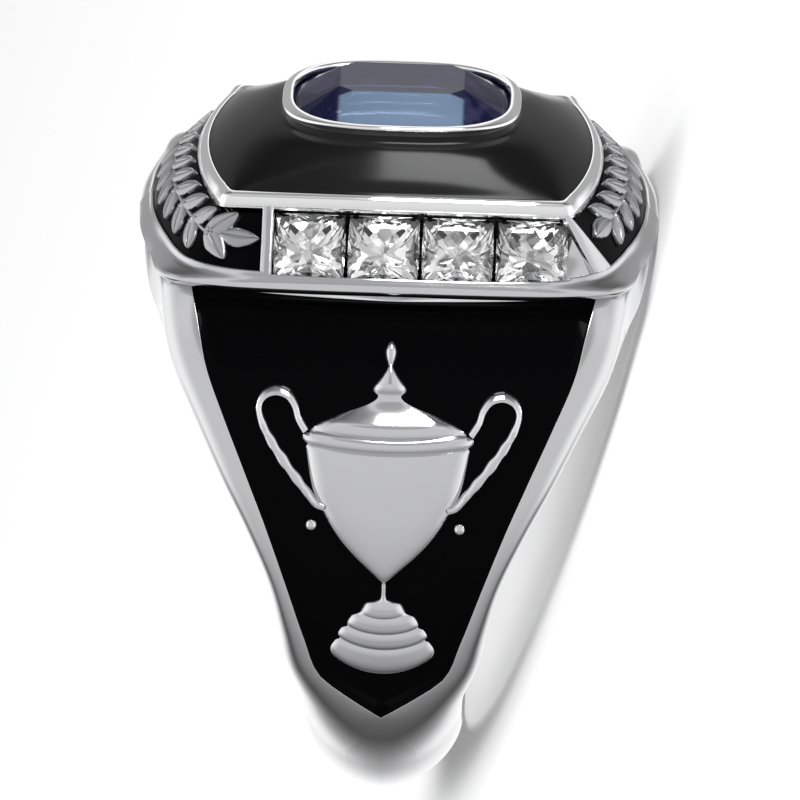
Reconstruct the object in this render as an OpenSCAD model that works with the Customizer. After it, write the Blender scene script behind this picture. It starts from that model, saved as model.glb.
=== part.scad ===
// Championship ring, laid on its side as it rests by itself.
// It is drawn upright, with x along the finger, y from front to back and z up to
// the centre stone, and placed() turns it over onto one end of its head.

/* [Band] */
// Diameter of the finger hole
bore_d = 20.6; // [18:0.1:22]
// Metal between the finger hole and the crest of the band
band_t = 2.7; // [2.4:0.1:3]
// Depth of the recess for the black enamel on each shoulder
recess_depth = 0.85; // [0.6:0.05:1]
// Thickness of the enamel in that recess
shoulder_enamel_t = 0.42; // [0.3:0.01:0.5]
// Clearance drawn round each inlaid piece
gap = 0.03; // [0.02:0.01:0.05]

/* [Head] */
// Height of the ridge round the head above the middle of the hole
ridge_z = 10.76; // [10.7:0.01:10.85]
// Height of the foot of the steel rim round the top
rim_z = 13.3; // [13.2:0.05:13.5]
// Half length of the rim's foot at the corners, along the finger
rim_corner = 6.85; // [6.6:0.05:7]
// Half length of the rim's foot at the middle of its bowed ends
rim_half_length = 8.02; // [7.9:0.01:8.2]
// Half width of the rim's foot
rim_half_width = 6.02; // [5.9:0.01:6.1]
// Depth of the ground behind the leaves
leaf_depth = 0.5; // [0.4:0.02:0.6]
// Thickness of the enamel on that ground
leaf_enamel_t = 0.22; // [0.15:0.01:0.25]

/* [Centre stone] */
// Half length of the centre stone
stone_half_length = 4.46; // [4.2:0.01:4.5]
// Half width of the centre stone
stone_half_width = 3.46; // [3.2:0.01:3.5]
// Height of the flat table above the middle of the hole
table_z = 16.5; // [16.2:0.05:16.8]

/* [Side stones] */
// Side of each square stone
square_side = 2.8; // [2.6:0.01:2.82]
// Distance from one square stone to the next
square_pitch = 2.9; // [2.88:0.01:2.92]
// Where the row of square stones begins along the finger
row_start = -4.8; // [-4.85:0.01:-4.75]

/* [Resting] */
// Lean of the finger hole from upright when the ring lies on its side
lean_deg = 18.68; // [18.3:0.01:19]

/* [Hidden] */
bore_r = bore_d / 2;
band_r = bore_r + band_t;
floor_r = band_r - recess_depth;
row_count = 4;

// The band and the black panel, by degrees above the finger's line on the shoulder
// columns: angle, half width of the band at its crest, the same at the hole, half width
// of the panel
band_rows = [
    [-90, 3.14, 3.14, 0.00],
    [-50, 3.14, 3.14, 0.00],
    [-30, 3.32, 3.30, 0.00],
    [-18, 3.92, 3.86, 2.40],
    [-10, 4.16, 4.08, 3.05],
    [0, 4.64, 4.52, 3.78],
    [10, 5.52, 5.38, 4.58],
    [20, 6.60, 6.46, 5.50],
    [30, 7.64, 7.42, 6.45],
    [38, 8.45, 8.15, 7.15],
    [45, 8.94, 8.70, 7.53],
    [53, 9.12, 9.22, 7.92],
    [62, 9.25, 9.66, 7.92],
    [74, 9.60, 9.96, 7.92],
    [90, 9.80, 10.05, 7.92]];
panel_tip_deg = -27.7;
panel_corner_deg = -18.4;
panel_top_deg = 52;
// the recess's top edge rises by this much towards its corners
panel_top_rise = 0.26;

// A quarter of the head, from the middle of its front to the middle of its end
// columns: station, foot of the sloping face (x, y, z), ridge (x, y)
head_rows = [
    [0, 0.00, 8.28, 11.12, 0.00, 8.50],
    [1, 3.60, 8.25, 11.12, 3.90, 8.47],
    [2, 6.60, 7.96, 11.15, 7.00, 8.28],
    [3, 8.35, 6.90, 11.20, 9.05, 7.48],
    [4, 9.30, 4.60, 11.25, 9.66, 5.20],
    [5, 9.80, 2.30, 11.25, 10.14, 2.66],
    [6, 9.95, 0.00, 11.25, 10.30, 0.00]];
station_corner = 3;
station_end = 6;
// how far the head's ends swell beyond a flat slope
end_swell = 0.25;
station_step = 0.6;

// The trophy cup, from the lower edge of its foot up to the tip of its lid
// columns: degrees above the finger's line, half width, height above the ground
cup_rows = [
    [-17.8, 0.25, 0.66],
    [-17.0, 0.92, 0.72],
    [-15.4, 1.66, 0.78],
    [-13.3, 2.15, 0.78],
    [-11.1, 2.06, 0.76],
    [-10.9, 1.82, 0.70],
    [-8.3, 1.76, 0.70],
    [-8.1, 1.46, 0.74],
    [-5.5, 1.40, 0.72],
    [-5.3, 0.84, 0.66],
    [-2.2, 0.77, 0.66],
    [-2.0, 0.15, 0.56],
    [1.3, 0.15, 0.56],
    [1.5, 0.34, 0.64],
    [3.2, 0.66, 0.76],
    [6.4, 1.40, 0.86],
    [9.6, 1.99, 0.90],
    [13.4, 2.50, 0.92],
    [18.6, 3.03, 0.92],
    [25.8, 3.33, 0.90],
    [26.0, 3.44, 0.96],
    [28.3, 3.42, 0.94],
    [28.5, 3.10, 0.82],
    [30.2, 2.26, 0.84],
    [33.4, 0.84, 0.78],
    [34.3, 0.84, 0.84],
    [36.1, 0.70, 0.80],
    [38.6, 0.20, 0.64],
    [41.7, 0.27, 0.68],
    [44.0, 0.08, 0.60]];
// One handle of the cup, from the lip of the bowl round to its lower joint
// columns: distance from the middle, degrees above the finger's line
handle_rows = [
    [3.25, 27.6],
    [3.52, 29.6],
    [3.68, 31.8],
    [3.98, 33.6],
    [4.46, 34.2],
    [4.90, 33.3],
    [5.08, 31.3],
    [4.92, 28.5],
    [4.54, 25.4],
    [4.08, 22.4],
    [3.52, 19.2],
    [3.10, 16.9],
    [2.74, 15.2]];
handle_w = 0.34;
handle_top_r = band_r - 0.1;
dot_x = 2.9;
dot_deg = 11.6;
dot_r = 0.25;

// Smooth value of column c at x, through the rows of a table
function row_before(t, x, i = 0) = i >= len(t) - 2 || x < t[i + 1][0] ? i : row_before(t, x, i + 1);
function row_slope(t, c, i) =
    let (a = max(i - 1, 0), b = min(i + 1, len(t) - 1))
    (t[b][c] - t[a][c]) / (t[b][0] - t[a][0]);
function smooth(t, c, x) =
    let (i = row_before(t, x), h = t[i + 1][0] - t[i][0], u = (x - t[i][0]) / h)
    (2 * u^3 - 3 * u^2 + 1) * t[i][c] + (u^3 - 2 * u^2 + u) * h * row_slope(t, c, i)
    + (3 * u^2 - 2 * u^3) * t[i + 1][c] + (u^3 - u^2) * h * row_slope(t, c, i + 1);
function mix(a, b, t) = a * (1 - t) + b * t;
function unit(v) = v / norm(v);

// A point of the shoulder: across the band, degrees above the finger's line, radius
function on_band(x, deg, r) = [x, -r * cos(deg), r * sin(deg)];

// Skin over rings of equally many points, each ring closed on itself
function skin_sides(m, n, wrap) = [
    for (j = [0:(wrap ? m - 1 : m - 2)], i = [0:n - 1])
        let (a = j * n + i, b = j * n + (i + 1) % n, k = (j + 1) % m * n)
        each [[a, b, k + (i + 1) % n], [a, k + (i + 1) % n, k + i]]];
module skin(rings) {
    n = len(rings[0]);
    m = len(rings);
    polyhedron([for (r = rings) each r],
        concat([[for (i = [n - 1:-1:0]) i]], skin_sides(m, n, false),
            [[for (i = [0:n - 1]) (m - 1) * n + i]]));
}
module skin_loop(rings)
    polyhedron([for (r = rings) each r], skin_sides(len(rings), len(rings[0]), true));

// Stations round the head, four quarters of station_end each, the front's middle last
stations = [for (i = [round(4 * station_end / station_step):-1:1]) i * station_step];
function quarter(s) = floor(s / station_end + 0.0001) % 4;
function in_quarter(s) =
    let (q = quarter(s), r = s - floor(s / station_end + 0.0001) * station_end)
    max(0, q % 2 == 0 ? r : station_end - r);
function turned(s, x, y, z) =
    [quarter(s) < 2 ? x : -x, quarter(s) == 0 || quarter(s) == 3 ? -y : y, z];
function foot_at(s) = let (q = in_quarter(s))
    turned(s, smooth(head_rows, 1, q), smooth(head_rows, 2, q), smooth(head_rows, 3, q));
function ridge_at(s, inset, z) = let (q = in_quarter(s))
    turned(s, smooth(head_rows, 4, q) - inset, smooth(head_rows, 5, q) - inset * min(1, 2 - q / 6), z);
// A pillow outline: straight front and back, bowed ends, sharp corners
function pillow_at(s, inset, z) =
    let (q = in_quarter(s), c = rim_corner - inset * 0.85, w = rim_half_width - inset,
        t = (q - station_corner) / (station_end - station_corner),
        bow = rim_half_length - rim_corner - inset * 0.15)
    q <= station_corner ? turned(s, c * q / station_corner, w, z)
        : turned(s, c + bow * (1 - (1 - t)^2), w * (1 - t), z);
// A cushion outline, whose power sets how square it is
cushion_power = 2.9;
function cushion_at(s, half_x, half_y, z) =
    let (q = in_quarter(s), a = 90 - 90 * q / station_end)
    turned(s, half_x * cos(a)^(2 / cushion_power), half_y * sin(a)^(2 / cushion_power), z);
function pillow_ring(inset, z) = [for (s = stations) pillow_at(s, inset, z)];
function cushion_ring(x, y, z) = [for (s = stations) cushion_at(s, x, y, z)];
function ridge_ring(inset, z) = [for (s = stations) ridge_at(s, inset, z)];

// The enamel dome between its edge and the foot of the bezel, at t from 0 to 1
rim_inner = 0.53;
edge_z = 13.70;
dome_z = 15.28;
bezel_x = 4.72;
bezel_y = 3.74;
dome_power = 1.35;
function dome_at(s, t, drop, in_gap) =
    let (out = pillow_at(s, rim_inner + in_gap, 0), in = cushion_at(s, bezel_x + in_gap, bezel_y + in_gap, 0))
    mix(out, in, t) + [0, 0, mix(edge_z, dome_z, 1 - (1 - t)^dome_power) - drop];
dome_steps = [0, 0.2, 0.45, 0.72, 1];
dome_floor = 0.5;

// Band and shoulders: half round below, flat with rounded edges above
band_section_n = 10;
function band_power(deg) = mix(1.75, 11, min(max((deg + 42) / 60, 0), 1));
// Under the head the band thins to the height of the ridge
function band_out(deg) = mix(band_r, ridge_z + 0.18, min(max((deg - 53) / 22, 0), 1));
function band_ring(turn) =
    let (deg = turn <= 90 ? turn : 180 - turn, p = band_power(deg),
        w_out = smooth(band_rows, 1, deg), w_in = smooth(band_rows, 2, deg),
        inner = bore_r - 0.5, side = turn <= 90 ? 1 : -1)
    [for (i = [0:band_section_n])
        let (a = 180 * i / band_section_n, c = cos(a), s = sin(a),
            h = s^(2 / p), x = mix(w_in, w_out, h) * sign(c) * abs(c)^(2 / p),
            r = mix(bore_r - 0.1, band_out(deg), h),
            q = on_band(x, deg, r))
        [q[0], q[1] * side, q[2]],
     for (x = [-w_in, w_in])
        let (q = on_band(x, deg, inner)) [q[0], q[1] * side, q[2]]];
module band() {
    skin_loop([for (t = [-90:7.5:262.5]) band_ring(t)]);
}

// The sloping face runs from its foot at 0 to the rim at 1, and swells a little at the ends
function slope_point(s, v) =
    let (foot = foot_at(s), top = pillow_at(s, 0, rim_z),
        out = unit([foot[0] - top[0], foot[1] - top[1], norm([foot[0] - top[0], foot[1] - top[1]])]),
        share = min(max((in_quarter(s) - station_corner) / 2, 0), 1))
    mix(foot, top, v) + out * (end_swell * share * 4 * v * (1 - v));
slope_steps = [0.25, 0.5, 0.75];
function slope_ring(v) = [for (s = stations) slope_point(s, v)];

// Head: sloping faces up to the rim, a bed for the enamel, the bezel and its seat
module head() {
    skin(concat(
        [ridge_ring(1.3, 8.7),
         ridge_ring(0.62, 10),
         ridge_ring(0.44, ridge_z - 0.36),
         ridge_ring(0.08, ridge_z - 0.14),
         ridge_ring(0, ridge_z),
         ridge_ring(0.03, ridge_z + 0.12),
         slope_ring(0)],
        [for (v = slope_steps) slope_ring(v)],
        [slope_ring(1),
         pillow_ring(0.06, rim_z + 0.26),
         pillow_ring(0.2, rim_z + 0.41),
         pillow_ring(rim_inner - 0.14, rim_z + 0.45),
         pillow_ring(rim_inner, edge_z)],
        [for (t = dome_steps) [for (s = stations) dome_at(s, t, dome_floor, 0)]],
        [cushion_ring(bezel_x, bezel_y, 15.58),
         cushion_ring(bezel_x - 0.1, bezel_y - 0.1, 15.71),
         cushion_ring(bezel_x - 0.34, bezel_y - 0.34, 15.72),
         cushion_ring(bezel_x - 0.46, bezel_y - 0.46, 15.62),
         cushion_ring(bezel_x - 0.44, bezel_y - 0.44, 15.52),
         cushion_ring(stone_half_length + gap, stone_half_width + gap, 15.36 + gap),
         cushion_ring(stone_half_length + gap, stone_half_width + gap, 15.2),
         cushion_ring(3.9, 2.95, 14.9),
         cushion_ring(1.5, 0.9, 12.6)]));
}

// The front slope, as a frame: x along the finger, y down the slope, z outwards
slope_deg = atan2(rim_z - head_rows[0][3], head_rows[0][2] - rim_half_width);
module on_slope()
    translate([0, -rim_half_width, rim_z]) rotate([slope_deg, 0, 0]) mirror([0, 1, 0]) children();
seat_top = 0.05;
seat_depth = 2.35;
module both_sides() {
    children();
    mirror([0, 1, 0]) children();
}
module stone_channel() {
    on_slope()
        translate([row_start, seat_top, -seat_depth])
            cube([row_count * square_pitch, square_side + 2 * gap + 0.02, seat_depth + 1]);
}

// Ground of the ornament: the ring of the sloping faces, sunk below the metal round it
// border is the share of the slope that stays plain along its foot
border = 0.1;
module slope_layer(low, high, margin)
    let (up = concat([border + margin], slope_steps, [1 - margin]), last = len(up) - 1)
    skin_loop(concat(
        [for (i = [last:-1:0]) [for (s = stations) slope_point(s, up[i]) + [0, 0, -low]]],
        [for (v = up) [for (s = stations) slope_point(s, v) + [0, 0, -high]]]));
bar_right = row_start;
bar_w = 0.46;
channel_end = row_start + row_count * square_pitch;
// Seen from above: the left window, the right window and the small wedge by the stones
module left_window(inset)
    translate([-12, -9.5]) square([12 + bar_right - bar_w - inset, 19]);
corner_in = [6.98, 6];
corner_out = [8.62, 6.36];
module right_window(inset) {
    far = corner_out + 2 * (corner_out - corner_in);
    polygon([for (p = [[6.4, 5], corner_in, far], q = [p - [-inset, inset]]) each [[q[0], -q[1]]],
        [far[0] + inset, far[1] - inset], [corner_in[0] + inset, corner_in[1] - inset], [6.4, 5 - inset]]);
}
module wedge_window()
    polygon([[channel_end - 0.02, -6.2], [8.05, -7.3], [9, -9], [channel_end - 0.02, -9]]);

module leaf_ground() {
    intersection() {
        slope_layer(leaf_depth, -1, 0);
        union() {
            linear_extrude(20) left_window(0);
            linear_extrude(20) right_window(0);
            both_sides() linear_extrude(20) wedge_window();
        }
    }
}

// Leaves in pairs along the middle of the sloping end faces
leaf_length = 1.6;
leaf_w = 0.74;
leaf_splay = 46;
leaf_shape = [[0, 0], [0.28, 0.46], [0.68, 0.42], [1, 0], [0.68, -0.42], [0.28, -0.46]];
module leaf_pair(grow)
    for (side = [-1, 1]) rotate(side * leaf_splay) translate([-leaf_w / 3, 0])
        polygon([for (p = leaf_shape)
            [p[0] * leaf_length + sign(p[0] - 0.5) * grow, p[1] * leaf_w + sign(p[1]) * grow]]);
module on_leaf_place(s) {
    along = unit(slope_point(s + 0.1, 0.5) - slope_point(s - 0.1, 0.5));
    up = unit(slope_point(s, 0.9) - slope_point(s, 0.1));
    out = unit(cross(along, up));
    side = cross(out, along);
    p = slope_point(s, 0.55) - leaf_sink * out;
    multmatrix([
        [along[0], side[0], out[0], p[0]],
        [along[1], side[1], out[1], p[1]],
        [along[2], side[2], out[2], p[2]],
        [0, 0, 0, 1]]) children();
}
// The sprays on both ends of the head grow from the back towards the front
leaf_step = 0.62;
leaf_sink = 0.04;
right_leaves = [for (i = [0:7]) 8.6 - leaf_step * i];
left_leaves = [for (i = [0:11]) 14.3 + leaf_step * i];
module leaves(places, grow, base, top)
    for (s = places) on_leaf_place(s) rotate(s < 2 * station_end ? 180 : 0)
        translate([0, 0, -base]) linear_extrude(base + top) leaf_pair(grow);

// Panel of a shoulder seen from the front, drawn in x and z
function panel_half(deg) =
    deg < panel_corner_deg ? 2.38 * (deg - panel_tip_deg) / (panel_corner_deg - panel_tip_deg)
    : smooth(band_rows, 3, deg);
panel_degs = concat([panel_corner_deg], [for (d = [-16:4:48]) d]);
module panel_outline(inset) {
    side = [for (d = panel_degs) [panel_half(d) - inset, band_r * sin(d)]];
    half = panel_half(panel_top_deg) - inset;
    polygon(concat(
        [[0, band_r * sin(panel_tip_deg) + inset * 1.3]],
        side,
        [for (t = [1:-0.25:-1]) [t * half, band_r * sin(panel_top_deg) + panel_top_rise * t^2 - inset]],
        [for (i = [len(side) - 1:-1:0]) [-side[i][0], side[i][1]]]));
}
// Stands a drawing in x and z upright and gives it depth towards the front
module towards_front(depth) rotate([90, 0, 0]) linear_extrude(depth) children();
module tube_shell(inner, outer)
    rotate([0, 90, 0]) difference() {
        cylinder(r = outer, h = 24, center = true, $fn = 72);
        cylinder(r = inner, h = 26, center = true, $fn = 72);
    }

// Cup relief: each row of its table is a low arch standing on the ground
cup_arch_n = 8;
function cup_ring(row) =
    let (w = row[1], h = row[2])
    [for (i = [0:cup_arch_n])
        let (a = 180 * i / cup_arch_n, x = w * cos(a))
        on_band(x, row[0], floor_r - 0.3 + (0.3 + h) * max(sin(a), 0)^0.36),
     on_band(-w * 0.9, row[0], floor_r - 0.5),
     on_band(w * 0.9, row[0], floor_r - 0.5)];
module cup_body() skin([for (r = cup_rows) cup_ring(r)]);
// The band's radius turns degrees into heights for the flat drawings
function handle_point(i) = [handle_rows[i][0], band_r * sin(handle_rows[i][1])];
function handle_side(i, w) =
    let (a = handle_point(max(i - 1, 0)), b = handle_point(min(i + 1, len(handle_rows) - 1)), d = unit(b - a))
    handle_point(i) + w * [-d[1], d[0]];
module handle_outline(grow) {
    last = len(handle_rows) - 1;
    w = handle_w / 2 + grow;
    polygon(concat([for (i = [0:last]) handle_side(i, w)], [for (i = [last:-1:0]) handle_side(i, -w)]));
}
module cup_outline(grow)
    polygon(concat(
        [for (r = cup_rows) [r[1] + grow, band_r * sin(r[0])]],
        [for (i = [len(cup_rows) - 1:-1:0]) [-cup_rows[i][1] - grow, band_r * sin(cup_rows[i][0])]]));
module cup_parts(grow) {
    for (side = [0, 1]) mirror([side, 0]) {
        handle_outline(grow);
        translate([dot_x, band_r * sin(dot_deg)]) circle(dot_r + grow, $fn = 12);
    }
}
module cup_relief() {
    cup_body();
    intersection() {
        towards_front(20) cup_parts(0);
        tube_shell(floor_r - 0.3, handle_top_r);
    }
}

module shoulder_recess()
    intersection() {
        towards_front(20) panel_outline(0);
        tube_shell(floor_r, band_r + 2);
    }

// Everything of steel, cast as one piece, before the finger hole is bored
module rough_casting() {
    difference() {
        union() {
            band();
            head();
        }
        leaf_ground();
        both_sides() {
            stone_channel();
            shoulder_recess();
        }
        rotate([0, 90, 0]) cylinder(r = bore_r - 0.4, h = 30, center = true, $fn = 60);
    }
    both_sides() cup_relief();
    leaves(left_leaves, 0, 0.7, 0);
    leaves(right_leaves, 0, 0.7, 0);
}

// Turns the upright ring onto its side, on the end of the head and the foot of the band
module placed() rotate([0, 90 - lean_deg, 0]) children();

module ring_casting() color("silver") placed()
    difference() {
        resize([2 * head_rows[station_end][4], 0, 0]) rough_casting();
        rotate([0, 90, 0]) cylinder(r = bore_r, h = 30, center = true, $fn = 96);
    }

module shoulder_enamel() color([0.02, 0.02, 0.03])
    resize([0, 0, 0]) intersection() {
        towards_front(20) difference() {
            panel_outline(gap);
            cup_outline(gap);
            cup_parts(gap);
        }
        tube_shell(floor_r + gap, floor_r + gap + shoulder_enamel_t);
    }
module shoulder_enamel_front() placed() shoulder_enamel();
module shoulder_enamel_back() placed() mirror([0, 1, 0]) shoulder_enamel();

// The glossy dome round the bezel
module top_enamel() color([0.03, 0.03, 0.03]) placed()
    skin_loop(concat(
        [for (t = dome_steps) [for (s = stations) dome_at(s, t, 0, gap)]],
        [for (i = [len(dome_steps) - 1:-1:0])
            [for (s = stations) dome_at(s, dome_steps[i], dome_floor - gap, gap)]]));

module leaf_enamel(places) color([0.02, 0.02, 0.03]) placed()
    resize([0, 0, 0]) difference() {
        intersection() {
            slope_layer(leaf_depth - 1.5 * gap, leaf_depth - 1.5 * gap - leaf_enamel_t, 0.015);
            linear_extrude(20) children();
        }
        leaves(places, gap, 1.1, 0.5);
    }
module leaf_enamel_left() leaf_enamel(left_leaves) left_window(gap);
module leaf_enamel_right() leaf_enamel(right_leaves) right_window(gap);

// A cut stone is the smallest solid that holds all corners of its facets
module gem(points) hull() polyhedron(points, [[for (i = [0:len(points) - 1]) i]]);

// Cushion cut: a table of eight sides, two rows of crown facets and a stepped base
girdle_low = 15.24;
girdle_high = 15.36;
module centre_stone() color([0.16, 0.2, 0.42]) placed()
    gem(concat(
            [for (p = [[1.9, 1.57], [2.45, 1.05]], sx = [-1, 1], sy = [-1, 1]) [sx * p[0], sy * p[1], table_z]],
            [for (s = [0:1:23]) cushion_at(s, stone_half_length, stone_half_width, girdle_high)],
            [for (s = [0:1:23]) cushion_at(s, stone_half_length, stone_half_width, girdle_low)],
            [for (s = [0:2:22]) cushion_at(s, 2.9, 2.1, 13.85)],
            [for (sx = [-1, 1]) [sx * 0.7, 0, 12.75]]));

// Square cut: a square table, a narrow crown and a base with a ridge to each corner
square_crown = 0.34;
square_sink = 0.42;
module square_stone() {
    h = square_side / 2;
    gem(concat(
            [for (sx = [-1, 1], sy = [-1, 1]) [sx * h * 0.66, sy * h * 0.66, square_crown]],
            [for (sx = [-1, 1], sy = [-1, 1]) [sx * h * 0.84, sy * h * 0.84, square_crown * 0.66]],
            [for (z = [0, -0.08], sx = [-1, 1], sy = [-1, 1]) [sx * h, sy * h, z]],
            [for (sx = [-1, 1], sy = [-1, 1]) [sx * h * 0.6, sy * h * 0.6, -0.95]],
            [for (sx = [-1, 1]) [sx * h * 0.76, 0, -0.85]],
            [for (sy = [-1, 1]) [0, sy * h * 0.76, -0.85]],
            [[0, 0, -1.8]]));
}
module side_stone(i) color([0.92, 0.95, 0.98])
    on_slope()
        translate([row_start + (i - 0.5) * square_pitch, seat_top + gap + 0.01 + square_side / 2, -square_sink])
            square_stone();

ring_casting();
shoulder_enamel_front();
shoulder_enamel_back();
top_enamel();
leaf_enamel_left();
leaf_enamel_right();
centre_stone();
for (i = [1:row_count]) {
    placed() side_stone(i);
    placed() mirror([0, 1, 0]) side_stone(i);
}
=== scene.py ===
from itertools import chain
from math import asin, atan2, cos, degrees, exp, hypot, pi, radians, sin, sqrt

import bmesh
import bpy
from mathutils import Matrix, Vector


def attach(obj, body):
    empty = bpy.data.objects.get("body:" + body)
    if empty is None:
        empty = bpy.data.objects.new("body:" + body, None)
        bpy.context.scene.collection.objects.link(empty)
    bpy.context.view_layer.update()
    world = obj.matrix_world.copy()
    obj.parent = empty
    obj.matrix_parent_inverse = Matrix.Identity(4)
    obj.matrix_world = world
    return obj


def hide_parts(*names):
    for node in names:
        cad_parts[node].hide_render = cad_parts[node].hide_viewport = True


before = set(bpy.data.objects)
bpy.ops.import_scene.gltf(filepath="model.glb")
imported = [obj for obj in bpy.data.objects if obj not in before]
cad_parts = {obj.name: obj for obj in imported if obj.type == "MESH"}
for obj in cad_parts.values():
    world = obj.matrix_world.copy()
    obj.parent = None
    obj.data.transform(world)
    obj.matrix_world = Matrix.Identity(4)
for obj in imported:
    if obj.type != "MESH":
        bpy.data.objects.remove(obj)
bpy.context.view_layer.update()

# Band: one stainless steel casting, bored for the finger, wide at the top and narrow underneath, with a
# pointed recess sunk in each shoulder. It is drawn upright in millimetres, x across the finger, y to the
# back and z up, and then laid on its side as it rests.
bore_r = 10.3
band_r = 13.0
thin_r = 10.94
recess = 0.7
lean = 18.68
lay = Matrix.Rotation(radians(90 - lean), 4, "Y") @ Matrix.Scale(0.001, 4)
sharp_angle = radians(42)
# angle up the front, half width at the crown, half width at the hole, half width of the recess
band_rows = [
    (-90, 3.14, 3.14, 0.00), (-50, 3.14, 3.14, 0.00), (-30, 3.32, 3.30, 0.00), (-18, 3.92, 3.86, 2.40),
    (-10, 4.16, 4.08, 3.05), (0, 4.64, 4.52, 3.78), (10, 5.52, 5.38, 4.58), (20, 6.60, 6.46, 5.50),
    (30, 7.64, 7.42, 6.45), (38, 8.45, 8.15, 7.15), (45, 8.94, 8.70, 7.53), (53, 9.12, 9.22, 7.92),
    (62, 9.25, 9.66, 7.92), (74, 9.60, 9.96, 7.92), (90, 9.80, 10.05, 7.92)]
# the recess, by the same angles: its tip, its lower corners and its top, which rises towards its ends
panel_tip, panel_corner, panel_top, panel_rise = -27.7, -18.4, 52.0, 0.26
corner_half = 2.38
# the section's power, 2 for an oval and higher for squarer sides, and the angles between which it grows
round_power, square_power, square_from, square_full = 1.75, 11, -46, 18
# the angles between which the band thins under the head
thin_from, thin_full = 53, 75
# how the hole's edge is broken: in from the band's side, and out from the hole
bore_edge = [(0.5, 0.0), (0.2, 0.0), (0.08, 0.02), (0.02, 0.08)]
least_wall = 0.2
# below the recess's tip its rows of points fan out again over the plain band
fan_half, fan_angle = 1.4, 14


def mix(a, b, t):
    return a * (1 - t) + b * t


def clamp(t):
    return min(max(t, 0.0), 1.0)


def along_curve(table, column, x, slope):
    """Reads a column of a table of stations along a curve that has a given slope at each station."""
    i = 0
    while i < len(table) - 2 and x >= table[i + 1][0]:
        i += 1
    h = table[i + 1][0] - table[i][0]
    u = (x - table[i][0]) / h
    return ((2 * u**3 - 3 * u**2 + 1) * table[i][column] + (u**3 - 2 * u**2 + u) * h * slope(i)
            + (3 * u**2 - 2 * u**3) * table[i + 1][column] + (u**3 - u**2) * h * slope(i + 1))


def smooth(table, column, x):
    """Reads a column along a smooth curve, whose slope at a station is that between its neighbours."""
    def slope(k):
        a, b = table[max(k - 1, 0)], table[min(k + 1, len(table) - 1)]
        return (b[column] - a[column]) / (b[0] - a[0])

    return along_curve(table, column, x, slope)


def loft(sections, around=True, along=False):
    """Skins equal rows of points with one grid, joined where it closes, and capped where it ends."""
    sections = [list(row) + ([row[0]] if around else []) for row in sections]
    if along:
        sections.append(sections[0])
    bm = bmesh.new()
    bmesh.ops.create_grid(bm, x_segments=len(sections[0]) - 1, y_segments=len(sections) - 1, size=1)
    for vert, point in zip(bm.verts, chain.from_iterable(sections)):
        vert.co = point
    bmesh.ops.remove_doubles(bm, verts=bm.verts, dist=1e-4)
    if around:
        bmesh.ops.holes_fill(bm, edges=[e for e in bm.edges if e.is_boundary], sides=0)
    bmesh.ops.recalc_face_normals(bm, faces=bm.faces)
    return bm


def make_piece(name, bm, finish, slot, *nodes, rounded=True):
    """Lays a mesh on its side in metres, and makes it a piece that stands for CAD nodes, which it hides."""
    bmesh.ops.transform(bm, matrix=lay, verts=bm.verts)
    mesh = bpy.data.meshes.new(name)
    bm.to_mesh(mesh)
    bm.free()
    if rounded:
        mesh.shade_smooth()
        mesh.set_sharp_from_angle(angle=sharp_angle)
    else:
        mesh.shade_flat()
    mesh.materials.append(finish)
    piece = bpy.data.objects.new(name, mesh)
    bpy.context.scene.collection.objects.link(piece)
    if rounded:
        even = piece.modifiers.new("even_normals", "WEIGHTED_NORMAL")
        even.keep_sharp = True
    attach(piece, "root")
    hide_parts(*nodes)
    return piece


def colour(code):
    """An sRGB hex value as linear light."""
    parts = [int(code[i:i + 2], 16) / 255 for i in (0, 2, 4)]
    return [c / 12.92 if c <= 0.04045 else ((c + 0.055) / 1.055)**2.4 for c in parts] + [1]


def add(tree, kind, settings=(), links=()):
    """Adds a node with its settings and its links."""
    node = tree.nodes.new(kind)
    for key, value in dict(settings).items():
        if isinstance(key, int) or key in node.inputs:
            node.inputs[key].default_value = value
        else:
            setattr(node, key, value)
    for key, source in dict(links).items():
        tree.links.new(source, node.inputs[key])
    return node


def new_finish(name, **settings):
    """A material with its own shader, whose plain values are set on the shader's sockets."""
    finish = bpy.data.materials.new(name)
    finish.use_nodes = True
    shader = finish.node_tree.nodes["Principled BSDF"]
    for key, value in settings.items():
        shader.inputs[key.replace("_", " ")].default_value = value
    return finish, finish.node_tree, shader


def grain(tree, mm, detail=2):
    """Noise of a real size in millimetres, on the piece's own place in metres."""
    place = add(tree, "ShaderNodeTexCoord")
    noise = add(tree, "ShaderNodeTexNoise", {"Scale": 1000 / mm, "Detail": detail, "Roughness": 0.55},
                {"Vector": place.outputs["Object"]})
    return noise.outputs["Fac"]


def haze(tree, shader, mm, detail, low, high):
    """Lets the roughness wander between two values, so that highlights open up unevenly."""
    limits = {"From Min": 0.3, "From Max": 0.7, "To Min": low, "To Max": high}
    spread = add(tree, "ShaderNodeMapRange", limits, {"Value": grain(tree, mm, detail)})
    tree.links.new(spread.outputs["Result"], shader.inputs["Roughness"])


def ripple(tree, shader, mm, strength, depth):
    """Bends the reflections with waves of a size and a depth in millimetres."""
    bump = add(tree, "ShaderNodeBump", {"Strength": strength, "Distance": depth / 1000},
               {"Height": grain(tree, mm)})
    tree.links.new(bump.outputs["Normal"], shader.inputs["Normal"])


# stainless steel, cast and mirror polished on a buffing wheel: bright, with a faint haze of wiping marks that
# opens up the highlights unevenly
polished_steel, tree, shader = new_finish(
    "polished_stainless_steel", Base_Color=colour("D2D2D4"), Metallic=1.0, Roughness=0.1)
haze(tree, shader, mm=1.6, detail=4, low=0.07, high=0.14)
ripple(tree, shader, mm=0.35, strength=0.02, depth=0.02)


def panel_half(angle):
    """Half width of the recess."""
    if angle < panel_corner:
        return corner_half * (angle - panel_tip) / (panel_corner - panel_tip)
    return smooth(band_rows, 3, angle)


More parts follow.
